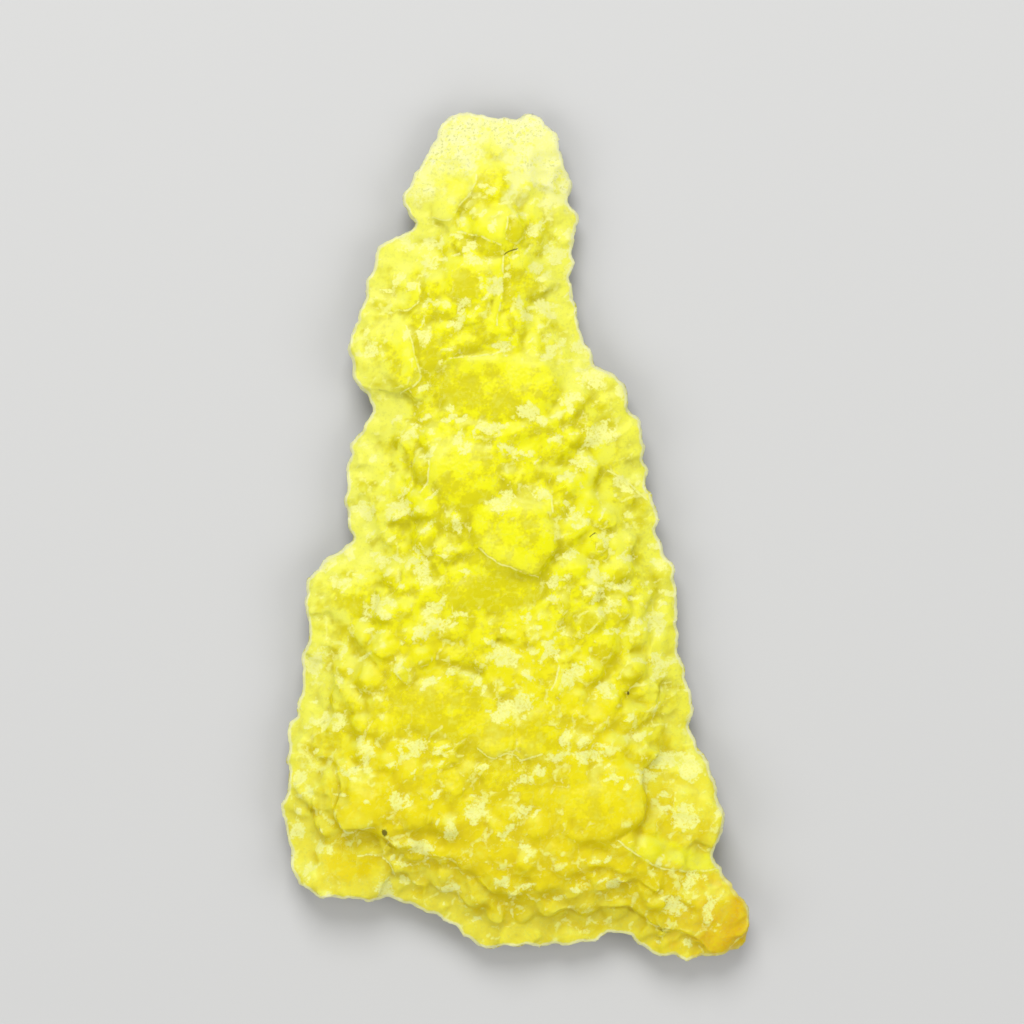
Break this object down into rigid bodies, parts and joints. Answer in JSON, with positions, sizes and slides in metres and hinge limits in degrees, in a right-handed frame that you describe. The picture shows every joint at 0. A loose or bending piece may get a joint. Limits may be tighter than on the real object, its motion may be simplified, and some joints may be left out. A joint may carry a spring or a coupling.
{
  "type": "brucite crystal",
  "caption": "Tapering plate of translucent lemon-yellow brucite with a cobbled crystal front, a scalloped rim and a flat back it rests on.",
  "frame": {"origin": "middle of the plate's outline, on the plane of the resting face", "axes": "+X across the plate, +Y from the broad foot to the narrow tip, +Z out through the cobbled front"},
  "size_m": [0.053, 0.0954, 0.0094],
  "materials": {
    "brucite": "translucent, pearly to glassy"
  },
  "bodies": {
    "root": {"crystal": "brucite"}
  },
  "joints": []
}
